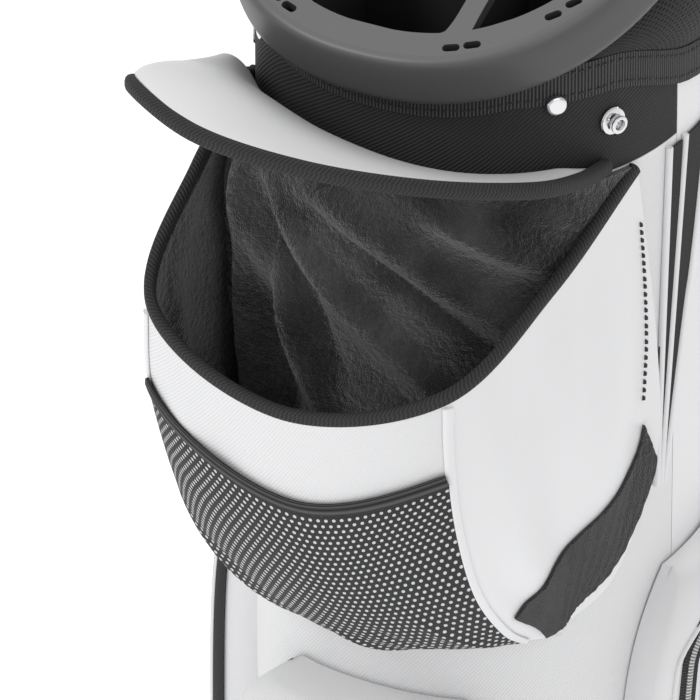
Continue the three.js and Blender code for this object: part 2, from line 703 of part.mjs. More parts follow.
function makeStrap() {
  for (const [end, z, lean] of [["top", STRAP.top, 1], ["bottom", STRAP.low, -1]]) {
    // a tab of webbing with a tunnel for the ring
    const tab = new THREE.BoxGeometry(34, 11, 44).translate(0, backY + 5.5, z + lean * 12);
    const tunnel = new THREE.CylinderGeometry(4.1, 4.1, 60, 12);
    tunnel.rotateZ(Math.PI / 2).translate(0, backY + 5.5, z);
    add(`strap_tab_${end}`, cut(tab, tunnel), M.webbing);
    // a square loop of wire: its inner bar turns in the tab's tunnel
    const frame = new THREE.Shape();
    const window = new THREE.Path();
    for (const [shape, grow] of [[frame, RING.wire], [window, -RING.wire]]) {
      const [x, low, high] = [RING.r + grow, -grow, 17 + grow];
      shape.moveTo(-x, low);
      shape.lineTo(x, low);
      shape.lineTo(x, high);
      shape.lineTo(-x, high);
      shape.closePath();
    }
    frame.holes.push(window);
    const wire = new THREE.ExtrudeGeometry(frame, { depth: 4.4, bevelEnabled: false }).translate(0, 0, -2.2);
    wire.rotateX(rad(RING.lean[end]));
    wire.translate(0, backY + 5.5, z);
    add(`strap_ring_${end}`, wire, M.chrome);
  }
  // the webbing's ends are sewn round the outer bars of the two rings
  const eye = (end, z) => {
    const lean = rad(RING.lean[end]);
    const [y, up] = [backY + 5.5 + 17 * Math.cos(lean), z + 17 * Math.sin(lean)];
    const round = new THREE.Shape();
    round.absarc(0, 0, 6, 0, 2 * Math.PI, false);
    const hole = new THREE.Path();
    hole.absarc(0, 0, 4, 0, 2 * Math.PI, false);
    round.holes.push(hole);
    const loop = new THREE.ExtrudeGeometry(round, { depth: STRAP.web, bevelEnabled: false, curveSegments: 5 });
    return loop.translate(0, 0, -STRAP.web / 2).rotateY(Math.PI / 2).translate(0, y, up);
  };
  const web = join(strapSlab(0, 1, STRAP.web, 2.4, 24), eye("top", STRAP.top), eye("bottom", STRAP.low));
  add("strap_webbing", web, M.webbing);
  add("strap_pad", strapSlab(0.16, 0.86, STRAP.pad, STRAP.padThick, 18, 2.4 + GAP), M.velour);
}

const parts = [makeBase, makeStays, makeTube, makeCollar, makeDividers, makePocket, makeMeshPouch, makePileStrips];
const more = [makeLid, makeLidWeb, makeInsets, makeTowelRing, makeZippedPockets, makeZips, makeStuds, makeStrap];
for (const make of [...parts, ...more]) make();

export default root;
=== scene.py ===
"""Looks for the golf bag: soft panels, lidded fleece pocket, mesh pouch, collar, strap and zips.

Lengths below are in millimetres, like the CAD source, and are scaled to metres when a mesh is made.
"""

import json
import math

import bpy
import bmesh
from mathutils import Matrix, Vector

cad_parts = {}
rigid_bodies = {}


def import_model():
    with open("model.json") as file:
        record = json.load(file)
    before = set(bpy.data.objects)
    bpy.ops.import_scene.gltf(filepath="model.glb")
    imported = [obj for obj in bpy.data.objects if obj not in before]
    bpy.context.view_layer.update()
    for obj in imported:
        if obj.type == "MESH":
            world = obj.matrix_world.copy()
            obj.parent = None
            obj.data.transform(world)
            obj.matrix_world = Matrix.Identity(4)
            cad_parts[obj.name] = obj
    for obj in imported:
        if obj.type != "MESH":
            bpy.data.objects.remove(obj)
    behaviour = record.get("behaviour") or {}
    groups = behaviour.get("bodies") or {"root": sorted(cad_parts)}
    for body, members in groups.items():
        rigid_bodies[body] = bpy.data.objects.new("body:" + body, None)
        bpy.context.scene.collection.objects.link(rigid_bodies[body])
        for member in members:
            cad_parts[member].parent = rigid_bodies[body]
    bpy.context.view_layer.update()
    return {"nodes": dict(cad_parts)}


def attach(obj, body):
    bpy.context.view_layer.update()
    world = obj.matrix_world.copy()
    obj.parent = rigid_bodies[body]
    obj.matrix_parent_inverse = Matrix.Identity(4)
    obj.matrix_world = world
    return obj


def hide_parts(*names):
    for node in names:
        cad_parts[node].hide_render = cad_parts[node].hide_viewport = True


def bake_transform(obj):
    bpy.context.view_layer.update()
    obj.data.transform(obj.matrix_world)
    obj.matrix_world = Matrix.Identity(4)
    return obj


for thing in list(bpy.data.objects):
    bpy.data.objects.remove(thing)
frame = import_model()

# ---------------------------------------------------------------- dimensions shared with the CAD
SUPER = 2.25
BODY_A, BODY_B = 125.0, 133.0
COLLAR_A, COLLAR_B, COLLAR_Z = 136.0, 149.0, 850.0
SLANT = math.radians(24)
SKIRT = 34.0
HINGE_Z = 726.0
TRIM_FRONT, TRIM_SIDE, TRIM_H = 800.0, 772.0, 22.0
BAND_ANGLE, BACK_ANGLE = 86.0, 148.0
WELL_X, WELL_Y = 50.0, (-54.0, 34.0)
SEAM_T = 1 / 3


def mix(p, q, t):
    return p + (q - p) * t


def smooth(low, high, x):
    t = min(1.0, max(0.0, (x - low) / (high - low)))
    return t * t * (3 - 2 * t)


def signed_power(x, p):
    return math.copysign(abs(x) ** p, x)


def rim(a, b, angle):
    """A point of the rounded outline; the angle is from the front towards +X, in degrees."""
    t = math.radians(angle)
    return a * signed_power(math.sin(t), 2 / SUPER), -b * signed_power(math.cos(t), 2 / SUPER)


def on_body(angle, z, out=0.0):
    return Vector((*rim(BODY_A + out, BODY_B + out, angle), z))


def collar_z(y):
    return COLLAR_Z + y * math.tan(SLANT)


def under_collar(angle):
    return collar_z(rim(BODY_A, BODY_B, angle)[1]) + 0.3


def trim_top(angle):
    return min(under_collar(angle), mix(TRIM_FRONT, TRIM_SIDE, smooth(60, 100, abs(angle))))


def spline(points, t):
    """Centripetal Catmull-Rom through the points, evenly in their order."""
    last = len(points) - 1
    place = min(max(t, 0.0), 1.0) * last
    i = min(int(place), last - 1)
    f = place - i
    p = [Vector(points[k]) if 0 <= k <= last else None for k in (i - 1, i, i + 1, i + 2)]
    p[0] = p[0] or 2 * p[1] - p[2]
    p[3] = p[3] or 2 * p[2] - p[1]
    d = [max((p[k + 1] - p[k]).length ** 0.5, 1e-4) for k in range(3)]
    m1 = ((p[1] - p[0]) / d[0] - (p[2] - p[0]) / (d[0] + d[1]) + (p[2] - p[1]) / d[1]) * d[1]
    m2 = ((p[2] - p[1]) / d[1] - (p[3] - p[1]) / (d[1] + d[2]) + (p[3] - p[2]) / d[2]) * d[1]
    f2, f3 = f * f, f * f * f
    return (
        p[1] * (2 * f3 - 3 * f2 + 1) + m1 * (f3 - 2 * f2 + f) + p[2] * (3 * f2 - 2 * f3) + m2 * (f3 - f2)
    )


# ---------------------------------------------------------------- materials
def shader(name, colour, roughness, metallic=0.0, sheen=0.0, coat=0.0):
    made = bpy.data.materials.new(name)
    made.use_nodes = True
    surface = made.node_tree.nodes["Principled BSDF"]
    surface.inputs["Base Color"].default_value = (*colour, 1)
    surface.inputs["Roughness"].default_value = roughness
    surface.inputs["Metallic"].default_value = metallic
    surface.inputs["Sheen Weight"].default_value = sheen
    surface.inputs["Sheen Roughness"].default_value = 0.45
    surface.inputs["Coat Weight"].default_value = coat
    return made, made.node_tree, surface


def node(tree, kind, **values):
    made = tree.nodes.new(kind)
    for key, value in values.items():
        if key in made.inputs:
            made.inputs[key].default_value = value
        else:
            setattr(made, key, value)
    return made


def arithmetic(tree, operation, first, second=0.0, third=None):
    made = node(tree, "ShaderNodeMath", operation=operation)
    for slot, value in zip(made.inputs, (first, second, third)):
        if value is None:
            continue
        if hasattr(value, "links"):
            tree.links.new(value, slot)
        else:
            slot.default_value = value
    return made.outputs[0]


def cloth_coordinates(tree):
    """The cloth's own coordinates, in metres along and across the weave."""
    return node(tree, "ShaderNodeUVMap").outputs["UV"]


def ribs(tree, pitch_mm, angle=0.0):
    """Even ribs 0..1 at the pitch, turned by the angle in degrees."""
    mapping = node(tree, "ShaderNodeMapping")
    mapping.inputs["Rotation"].default_value = (0, 0, math.radians(angle))
    tree.links.new(cloth_coordinates(tree), mapping.inputs["Vector"])
    wave = node(tree, "ShaderNodeTexWave", Scale=314.16 / pitch_mm)
    tree.links.new(mapping.outputs["Vector"], wave.inputs["Vector"])
    return wave.outputs["Fac"]


def noise(tree, per_metre, detail=3.0, coordinates=None):
    made = node(tree, "ShaderNodeTexNoise", Scale=per_metre, Detail=detail)
    where = coordinates or node(tree, "ShaderNodeTexCoord").outputs["Object"]
    tree.links.new(where, made.inputs["Vector"])
    return made.outputs["Fac"]


def add_bump(tree, surface, height, depth_mm, strength=1.0):
    bump = node(tree, "ShaderNodeBump", Strength=strength, Distance=depth_mm / 1000)
    tree.links.new(height, bump.inputs["Height"])
    tree.links.new(bump.outputs["Normal"], surface.inputs["Normal"])
    return bump


def colour_between(tree, surface, factor, dark, light):
    blend = node(tree, "ShaderNodeMix", data_type="RGBA")
    blend.inputs[6].default_value = (*dark, 1)
    blend.inputs[7].default_value = (*light, 1)
    tree.links.new(factor, blend.inputs[0])
    tree.links.new(blend.outputs[2], surface.inputs["Base Color"])
    return blend


def grey(value):
    return (value, value, value * 1.01)


def ribbed_cloth(name, dark, light, pitch_mm, angle, depth_mm, roughness=0.85, sheen=0.0):
    made, tree, surface = shader(name, light, roughness, sheen=sheen)
    height = ribs(tree, pitch_mm, angle)
    colour_between(tree, surface, height, dark, light)
    add_bump(tree, surface, height, depth_mm)
    return made


def white_leather():
    made, tree, surface = shader("white_leather", grey(0.77), 0.42)
    grain = noise(tree, 900, 2)
    soft = noise(tree, 16, 1)
    height = arithmetic(tree, "MULTIPLY_ADD", soft, 9.0, grain)
    add_bump(tree, surface, height, 0.12, 0.5)
    return made


def velour():
    made, tree, surface = shader("black_fleece", grey(0.03), 1.0, sheen=0.5)
    fibres = noise(tree, 1300, 2)
    tufts = noise(tree, 260, 4)
    crush = noise(tree, 22, 2)
    shade = arithmetic(tree, "MULTIPLY_ADD", crush, 1.6, -0.55)
    shade = arithmetic(tree, "MULTIPLY", shade, arithmetic(tree, "ADD", fibres, tufts))
    colour_between(tree, surface, shade, grey(0.004), grey(0.13))
    add_bump(tree, surface, arithmetic(tree, "MULTIPLY_ADD", tufts, 2.0, fibres), 1.8)
    return made


def pile():
    made, tree, surface = shader("loop_pile", grey(0.02), 1.0, sheen=0.2)
    loops = node(tree, "ShaderNodeTexVoronoi", Scale=1100)
    tree.links.new(node(tree, "ShaderNodeTexCoord").outputs["Object"], loops.inputs["Vector"])
    colour_between(tree, surface, loops.outputs["Distance"], grey(0.008), grey(0.05))
    add_bump(tree, surface, loops.outputs["Distance"], 1.2)
    return made


def moulded(name, value, roughness):
    made, tree, surface = shader(name, grey(value), roughness)
    add_bump(tree, surface, noise(tree, 1400, 2), 0.06, 0.6)
    return made


def collar_plastic():
    """Moulded grey plastic with painted light: faces that point up get a lighter grey and the walls a darker
    one, chosen by their direction, standing in for light from above.
    """
    made, tree, surface = shader("collar_plastic", grey(0.1), 0.42)
    split = node(tree, "ShaderNodeSeparateXYZ")
    tree.links.new(node(tree, "ShaderNodeNewGeometry").outputs["Normal"], split.inputs[0])
    painted_top_light_mask = arithmetic(tree, "SMOOTH_MAX", split.outputs[2], 0.0, 0.1)
    # Painted light and shade: the tops take grey 0.15 and the walls grey 0.055, chosen by the face's
    # direction.
    colour_between(tree, surface, painted_top_light_mask, grey(0.055), grey(0.15))
    add_bump(tree, surface, noise(tree, 1400, 2), 0.06, 0.6)
    return made


def hole_pattern(tree, pitch_mm):
    """Distance from the nearest hole centre of a staggered pattern, in pitches."""
    split = node(tree, "ShaderNodeSeparateXYZ")
    tree.links.new(cloth_coordinates(tree), split.inputs[0])
    across = 1000 / pitch_mm
    along = across / math.sqrt(3)
    nearest = None
    for shift in (0.0, 0.5):
        x = arithmetic(tree, "MULTIPLY_ADD", split.outputs[0], across, shift)
        y = arithmetic(tree, "MULTIPLY_ADD", split.outputs[1], along, shift)
        dx = arithmetic(tree, "SUBTRACT", arithmetic(tree, "FRACT", x), 0.5)
        dy = arithmetic(tree, "SUBTRACT", arithmetic(tree, "FRACT", y), 0.5)
        dy = arithmetic(tree, "MULTIPLY", dy, math.sqrt(3))
        dx_squared = arithmetic(tree, "MULTIPLY", dx, dx)
        dy_squared = arithmetic(tree, "MULTIPLY", dy, dy)
        square = arithmetic(tree, "ADD", dx_squared, dy_squared)
        reach = arithmetic(tree, "SQRT", square)
        nearest = reach if nearest is None else arithmetic(tree, "MINIMUM", nearest, reach)
    return nearest


def net(name, pitch_mm, hole, behind, depth_mm):
    """Knitted net with staggered round holes; behind is the grey seen through them."""
    made, tree, surface = shader(name, grey(0.028), 0.8)
    reach = hole_pattern(tree, pitch_mm)
    thread = arithmetic(tree, "GREATER_THAN", reach, hole)
    colour_between(tree, surface, thread, grey(behind), grey(0.022))
    add_bump(tree, surface, arithmetic(tree, "MINIMUM", reach, hole + 0.14), depth_mm)
    return made


WHITE = ribbed_cloth("white_twill", grey(0.69), grey(0.78), 1.7, 38, 0.12, roughness=0.6)
LEATHER = white_leather()
TWILL = ribbed_cloth("black_twill", grey(0.012), grey(0.03), 2.0, 55, 0.35)
BINDING = ribbed_cloth("binding_twill", grey(0.012), grey(0.036), 2.2, 60, 0.5)
GROSGRAIN = ribbed_cloth("grosgrain", grey(0.004), grey(0.085), 2.1, 0, 0.9)
WEBBING = ribbed_cloth("webbing", grey(0.016), grey(0.045), 1.6, 90, 0.5)
RIBBED_LINING = ribbed_cloth("ribbed_lining", grey(0.006), grey(0.03), 3.2, 0, 0.9)
VELOUR = velour()
PILE = pile()
NET = net("open_net", 5.0, 0.225, 0.6, 0.6)
# The spacer net's holes are near black, darker than its thread: the black inner layer together with painted
# shade inside the cells.
SPACER = net("spacer_net", 4.6, 0.3, 0.004, 3.0)
COLLAR = collar_plastic()
DARK_PLASTIC = moulded("base_plastic", 0.03, 0.5)
RUBBER = moulded("rubber", 0.02, 0.7)
DARK_LINING = moulded("divider_fabric", 0.012, 0.95)
CHROME = shader("chrome", (0.72, 0.72, 0.73), 0.14, metallic=1.0)[0]
ROD = shader("stay_metal", (0.45, 0.45, 0.46), 0.4, metallic=1.0)[0]
DARK_THREAD = shader("dark_thread", grey(0.03), 0.8)[0]


# ---------------------------------------------------------------- mesh helpers
def finish_piece(name, mesh, body="bag", slot=None, replaces=()):
    mesh.set_sharp_from_angle(angle=math.radians(42))
    made = bpy.data.objects.new(name, mesh)
    bpy.context.scene.collection.objects.link(made)
    if body:
        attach(made, body)
    if replaces:
        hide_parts(*replaces)
    return made


def surface(name, place, nu, nv, look, inner=None, **facts):
    """A closed slab: place(u, v, side) in millimetres, side 1 the skin and side 0 the back.

    Its UVs are metres: across by the longer of the skin's middle and last rows, along by its middle column.
    """

    def grid(side):
        return [[Vector(place(i / nu, j / nv, side)) for i in range(nu + 1)] for j in range(nv + 1)]

    points = [grid(0), grid(1)]
    skin = points[1]
    across, along = [0.0], [0.0]
    for i in range(nu):
        step = max((row[i + 1] - row[i]).length for row in (skin[nv // 2], skin[-1]))
        across.append(across[-1] + step / 1000)
    for j in range(nv):
        along.append(along[-1] + (skin[j + 1][nu // 2] - skin[j][nu // 2]).length / 1000)
    vertices = [p / 1000 for layer in points for row in layer for p in row]

    def at(i, j, s):
        return s * (nu + 1) * (nv + 1) + j * (nu + 1) + i

    faces, kinds = [], []
    for j in range(nv):
        for i in range(nu):
            faces.append((at(i, j, 1), at(i + 1, j, 1), at(i + 1, j + 1, 1), at(i, j + 1, 1)))
            faces.append((at(i, j + 1, 0), at(i + 1, j + 1, 0), at(i + 1, j, 0), at(i, j, 0)))
            kinds += [0, 1 if inner else 0]
    for i in range(nu):
        faces.append((at(i, 0, 0), at(i + 1, 0, 0), at(i + 1, 0, 1), at(i, 0, 1)))
        faces.append((at(i, nv, 1), at(i + 1, nv, 1), at(i + 1, nv, 0), at(i, nv, 0)))
    for j in range(nv):
        faces.append((at(0, j, 1), at(0, j + 1, 1), at(0, j + 1, 0), at(0, j, 0)))
        faces.append((at(nu, j, 0), at(nu, j + 1, 0), at(nu, j + 1, 1), at(nu, j, 1)))
    kinds += [0] * (len(faces) - len(kinds))
    mesh = bpy.data.meshes.new(name)
    mesh.from_pydata(vertices, [], faces)
    layer = mesh.uv_layers.new(name="cloth")
    per_side = (nu + 1) * (nv + 1)
    for corner in mesh.loops:
        k = corner.vertex_index % per_side
        layer.data[corner.index].uv = (across[k % (nu + 1)], along[k // (nu + 1)])
    mesh.materials.append(look)
    if inner:
        mesh.materials.append(inner)
    mesh.polygons.foreach_set("material_index", kinds)
    mesh.polygons.foreach_set("use_smooth", [True] * len(faces))
    turn_outwards(mesh)
    return finish_piece(name, mesh, **facts)


def turn_outwards(mesh):
    work = bmesh.new()
    work.from_mesh(mesh)
    bmesh.ops.recalc_face_normals(work, faces=work.faces)
    work.to_mesh(mesh)
    work.free()


def tube(name, points, width, height, look, ups=None, sides=10, closed=False, flat=1.0, **facts):
    """A bar swept along points in millimetres; ups gives the direction of its height."""
    count = len(points)
    vertices, faces, run = [], [], [0.0]
    for i in range(1, count + 1):
        run.append(run[-1] + (points[i % count] - points[i - 1]).length / 1000)
    for i, point in enumerate(points):
        before = points[i - 1] if i or closed else points[0]
        after = points[(i + 1) % count] if i < count - 1 or closed else points[-1]
        tangent = (after - before).normalized()
        up = Vector(ups[i]) if ups else Vector((0, 0, 1))
        side = tangent.cross(up).normalized()
        up = side.cross(tangent)
        for k in range(sides):
            t = 2 * math.pi * (k + 0.5) / sides
            across = signed_power(math.cos(t), flat) * width / 2
            high = signed_power(math.sin(t), flat) * height / 2
            vertices.append((point + side * across + up * high) / 1000)
    for i in range(count if closed else count - 1):
        for k in range(sides):
            a, b = i * sides + k, i * sides + (k + 1) % sides
            c, d = (b + sides) % (count * sides), (a + sides) % (count * sides)
            faces.append((a, b, c, d))
    if not closed:
        faces.append(tuple(range(sides)))
        faces.append(tuple((count - 1) * sides + k for k in range(sides)))
    mesh = bpy.data.meshes.new(name)
    mesh.from_pydata(vertices, [], faces)
    layer = mesh.uv_layers.new(name="cloth")
    girth = (width + height) * 1.57 / 1000
    for face in mesh.polygons:
        for corner, v in zip(face.loop_indices, face.vertices):
            k = v % sides
            i = v // sides
            if face.index < count * sides and k == 0 and any(w % sides == sides - 1 for w in face.vertices):
                k = sides
            if closed and i == 0 and any(w // sides == count - 1 for w in face.vertices):
                i = count
            layer.data[corner].uv = (girth * k / sides, run[i])
    mesh.materials.append(look)
    mesh.polygons.foreach_set("use_smooth", [True] * len(mesh.polygons))
    turn_outwards(mesh)
    return finish_piece(name, mesh, **facts)


def lathe(name, profile, centre, outward, look, steps=40, **facts):
    """A turned piece: profile rows are (radius, height) in millimetres, from the axis to the axis."""
    turn = Vector(outward).to_track_quat("Z", "Y").to_matrix()
    vertices, faces = [], []
    inner = profile[1:-1]
    for radius, height in inner:
        for k in range(steps):
            t = 2 * math.pi * k / steps
            vertices.append(turn @ Vector((radius * math.cos(t), radius * math.sin(t), height)))
    for r in range(len(inner) - 1):
        for k in range(steps):
            a, b = r * steps + k, r * steps + (k + 1) % steps
            faces.append((a, b, b + steps, a + steps))
    faces.append(tuple(range(steps)))
    faces.append(tuple((len(inner) - 1) * steps + k for k in range(steps)))
    mesh = bpy.data.meshes.new(name)
    mesh.from_pydata([(Vector(centre) + v) / 1000 for v in vertices], [], faces)
    mesh.materials.append(look)
    mesh.polygons.foreach_set("use_smooth", [True] * len(mesh.polygons))
    turn_outwards(mesh)
    return finish_piece(name, mesh, **facts)


def stitches(name, path, look, length=3.2, gap=2.0, width=0.9, **facts):
    """A row of short thread bars along a line; path(s) gives point and outward for s in 0..1."""
    samples = [path(i / 240) for i in range(241)]
    run, bars, want = 0.0, [], 0.0
    for (p, n), (q, _) in zip(samples, samples[1:]):
        run += (q - p).length
        if run >= want:
            bars.append((p, (q - p).normalized(), n))
            want += length + gap
    vertices, faces = [], []
    for p, along, n in bars:
        across = along.cross(n).normalized()
        base = len(vertices)
        for e, h in ((-0.5, -0.2), (-0.3, 0.45), (0.3, 0.45), (0.5, -0.2)):
            for w in (-0.5, 0.5):
                vertices.append((p + along * e * length + across * w * width + n * h) / 1000)
        for k in range(3):
            faces.append((base + 2 * k, base + 2 * k + 1, base + 2 * k + 3, base + 2 * k + 2))
        faces.append((base, base + 2, base + 4, base + 6))
        faces.append((base + 1, base + 7, base + 5, base + 3))
        faces.append((base, base + 6, base + 7, base + 1))
    mesh = bpy.data.meshes.new(name)
    mesh.from_pydata(vertices, [], faces)
    mesh.materials.append(look)
    turn_outwards(mesh)
    return finish_piece(name, mesh, **facts)


# ---------------------------------------------------------------- tube of panels
def band(name, start, end, low, high, look, out=0.0, thick=3.0, bulge=0.0, swell=None, nu=48, nv=8, **facts):
    """A curved panel between two angles and two heights, with an optional extra swell(u, v)."""

    def height(h, angle):
        return h(angle) if callable(h) else h

    def place(u, v, side):
        angle = mix(start, end, u)
        puff = 0.0
        if bulge and 0 < u < 1 and 0 < v < 1:
            puff = bulge * (math.sin(math.pi * u) * math.sin(math.pi * v)) ** 0.7
        extra = swell(u, v) if swell else 0.0
        reach = out + (puff + extra if side else -thick)
        x, y = rim(BODY_A + reach, BODY_B + reach, angle)
        return x, y, mix(height(low, angle), height(high, angle), v)

    return surface(name, place, nu, nv, look, **facts)


def trim_low(angle):
    return trim_top(angle) - TRIM_H


def soft_wave(seed, strength):
    """Slow unevenness of a soft panel."""

    def swell(u, v):
        ripple = math.sin(7.1 * u + 3.3 * v + seed) + 0.6 * math.sin(13.7 * v - 5.2 * u + 2 * seed)
        return strength * ripple * math.sin(math.pi * u) * math.sin(math.pi * v)

    return swell


PANEL_FOOT, PANEL_GAP = 66.4, 0.25
PAD_START, PAD_BULGE = 53, 11.5
TRIM_STITCH_INSET = 4.0


def make_body():
    def under_trim(angle):
        return trim_low(angle) + 3

    band("front_skin", -BAND_ANGLE, BAND_ANGLE, PANEL_FOOT, HINGE_Z - 0.4, WHITE, nu=64, nv=24,
         inner=RIBBED_LINING, swell=soft_wave(0.4, 0.8), slot="white_shell", replaces=["front_panel"])
    band("yoke_skin", -BAND_ANGLE, BAND_ANGLE, HINGE_Z, under_trim, TWILL, nu=64, nv=6,
         inner=RIBBED_LINING, slot="black_twill", replaces=["front_band"])
    band("trim_skin", -BACK_ANGLE, BACK_ANGLE, trim_low, trim_top, GROSGRAIN, out=1.6, thick=1.4, nu=96, nv=2,
         slot="trim_webbing", replaces=["webbing_trim"])
    for side, s in (("left", -1), ("right", 1)):
        band(f"side_skin_{side}", s * (BAND_ANGLE + PANEL_GAP), s * BACK_ANGLE, PANEL_FOOT, under_trim,
             LEATHER, nu=32, nv=24, inner=RIBBED_LINING, swell=soft_wave(1.7 * s, 0.9), slot="white_shell",
             replaces=[f"side_panel_{side}"])
        pad = band(f"spacer_pad_{side}", s * PAD_START, s * BACK_ANGLE, lambda t: trim_top(t) - 1.0,
                   under_collar, SPACER, bulge=PAD_BULGE, nu=32, nv=10, slot="mesh_fabric",
                   replaces=[f"mesh_pad_{side}"])
        for level in (TRIM_STITCH_INSET, TRIM_H - TRIM_STITCH_INSET):
            def seam(t, s=s, level=level):
                angle = s * mix(0, BACK_ANGLE, t)
                p = on_body(angle, trim_low(angle) + level, 1.7)
                return p, Vector((p.x, p.y, 0)).normalized()
            stitches(f"trim_stitch_{side}_{int(level)}", seam, DARK_THREAD, slot="trim_webbing")
    band("back_skin", BACK_ANGLE + PANEL_GAP, 360 - BACK_ANGLE - PANEL_GAP, PANEL_FOOT, under_collar, LEATHER,
         nu=24, nv=24, inner=RIBBED_LINING, swell=soft_wave(2.9, 0.7), slot="white_shell",
         replaces=["back_panel"])


# ---------------------------------------------------------------- base
SOLE_PROFILE = [(2.0, 0.0), (0.6, 0.5), (0.0, 1.8), (0.0, 5.4), (0.9, 7.0)]
CUP_PROFILE = [
    (3.2, 7.4), (0.9, 8.0), (0.0, 10.5), (0.0, 15.0), (1.3, 16.6), (1.3, 19.4), (0.0, 21.0), (0.0, 59.0),
    (0.5, 63.4), (1.8, 65.8), (3.2, 65.6), (4.0, 63.6), (4.0, 16.0), (5.0, 13.4),
]


def oval_stack(name, profile, a, b, look, steps=144, **facts):
    """A closed oval solid from rows of (inset, height) in millimetres, with flat ends."""
    vertices = []
    for inset, height in profile:
        for k in range(steps):
            vertices.append(Vector((*rim(a - inset, b - inset, 360 * k / steps), height)) / 1000)
    faces = [tuple(range(steps)), tuple((len(profile) - 1) * steps + k for k in range(steps))]
    for r in range(len(profile) - 1):
        for k in range(steps):
            p, q = r * steps + k, r * steps + (k + 1) % steps
            faces.append((p, q, q + steps, p + steps))
    mesh = bpy.data.meshes.new(name)
    mesh.from_pydata(vertices, [], faces)
    mesh.materials.append(look)
    mesh.polygons.foreach_set("use_smooth", [True] * len(faces))
    turn_outwards(mesh)
    return finish_piece(name, mesh, **facts)


def make_base():
    oval_stack("sole_rubber", SOLE_PROFILE, 130, 139, RUBBER, slot="rubber", replaces=["base_sole"])
    oval_stack("cup_shell", CUP_PROFILE, 129.5, 138.5, DARK_PLASTIC, slot="base_plastic",
               replaces=["base_cup"])


# ---------------------------------------------------------------- collar
RIM_WIDTH, RIM_SHIFT, BAR = 20.0, 4.0, 6.0
LACE_HOLE_ANGLES, LACE_HOLE_INSET = (21.5, 27.0, 49.0, 55.0), 13
PLATE_INSET, PLATE_HALF_DEPTH, PLATE_BEVEL = 7.6, 3.5, 1.3
HAND_LOOP_HALF, HAND_LOOP_REACH, HAND_LOOP_HEIGHT = 55, 41, 17
COLLAR_FRAME = Matrix.Translation((0, 0, COLLAR_Z)) @ Matrix.Rotation(SLANT, 4, "X")
LONG_B = COLLAR_B / math.cos(SLANT)


def well_outline(col, row, steps=72):
    edge_a, edge_b = COLLAR_A - RIM_WIDTH, LONG_B - RIM_WIDTH
    lift = (SKIRT - 3.5) * math.tan(SLANT)
    front, rear = (y / math.cos(SLANT) + lift for y in WELL_Y)
    x0 = {-1: -edge_a, 0: -WELL_X + BAR, 1: WELL_X + BAR}[col]
    x1 = {-1: -WELL_X - BAR, 0: WELL_X - BAR, 1: edge_a}[col]
    y0 = {-1: -edge_b, 0: front + BAR, 1: rear + BAR}[row]
    y1 = {-1: front - BAR, 0: rear - BAR, 1: edge_b}[row]
    outline = []
    for i in range(steps):
        t = 2 * math.pi * (i + 0.5) / steps
        x = (x0 + x1) / 2 + (x1 - x0) / 2 * signed_power(math.cos(t), 0.38)
        y = (y0 + y1) / 2 + (y1 - y0) / 2 * signed_power(math.sin(t), 0.38)
        reach = (abs(x / edge_a) ** SUPER + abs((y - RIM_SHIFT) / edge_b) ** SUPER) ** (1 / SUPER)
        if reach > 1:
            x, y = x / reach, RIM_SHIFT + (y - RIM_SHIFT) / reach
        outline.append((x, y))
    return outline


def pill(x, y, turn, half=5.0, radius=2.6):
    outline = []
    for k in range(16):
        t = 2 * math.pi * k / 16
        px = radius * math.cos(t) + math.copysign(half - radius, math.cos(t))
        py = radius * math.sin(t)
        across = px * math.cos(turn) - py * math.sin(turn)
        along = px * math.sin(turn) + py * math.cos(turn)
        outline.append((x + across, y + along))
    return outline


def even(outline, spacing=3.0):
    """The same closed outline with evenly spaced points."""
    ring = [Vector(p) for p in outline]
    runs = [0.0]
    for p, q in zip(ring, ring[1:] + ring[:1]):
        runs.append(runs[-1] + (q - p).length)
    count = max(12, round(runs[-1] / spacing))
    made, k = [], 0
    for i in range(count):
        want = runs[-1] * i / count
        while runs[k + 1] < want:
            k += 1
        p, q = ring[k], ring[(k + 1) % len(ring)]
        made.append(p.lerp(q, (want - runs[k]) / max(1e-6, runs[k + 1] - runs[k])))
    return made


def plate_mesh(outlines, half_depth, bevel, z):
    """A flat plate with holes and rounded edges, from outlines in millimetres."""
    curve = bpy.data.curves.new("plate", "CURVE")
    curve.dimensions = "2D"
    curve.fill_mode = "BOTH"
    curve.extrude = half_depth / 1000
    for outline in outlines:
        line = curve.splines.new("POLY")
        line.points.add(len(outline) - 1)
        for point, (x, y) in zip(line.points, outline):
            point.co = (x / 1000, y / 1000, 0, 1)
        line.use_cyclic_u = True
    holder = bpy.data.objects.new("plate", curve)
    bpy.context.scene.collection.objects.link(holder)
    mesh = bpy.data.meshes.new_from_object(holder.evaluated_get(bpy.context.evaluated_depsgraph_get()))
    bpy.data.objects.remove(holder)
    work = bmesh.new()
    work.from_mesh(mesh)
    bmesh.ops.remove_doubles(work, verts=work.verts, dist=1e-6)
    edges = [e for e in work.edges if len(e.link_faces) == 2 and e.calc_face_angle() > 1.0]
    bmesh.ops.bevel(work, geom=edges, offset=bevel / 1000, segments=2, affect="EDGES", clamp_overlap=True)
    work.to_mesh(mesh)
    work.free()
    in_metres = Matrix.Translation((0, 0, COLLAR_Z / 1000)) @ Matrix.Rotation(SLANT, 4, "X")
    mesh.transform(in_metres @ Matrix.Translation((0, 0, z / 1000)))
    mesh.materials.clear()
    mesh.materials.append(COLLAR)
    mesh.polygons.foreach_set("use_smooth", [True] * len(mesh.polygons))
    return mesh


# outer profile of the collar's wall: inset from the outline, and height
WALL_PROFILE = [(1.4, 0), (0, 1.4), (0, 10), (0.3, 20), (1.0, 28), (2.2, 31.5), (4.4, 33.6), (8.0, 34.0)]


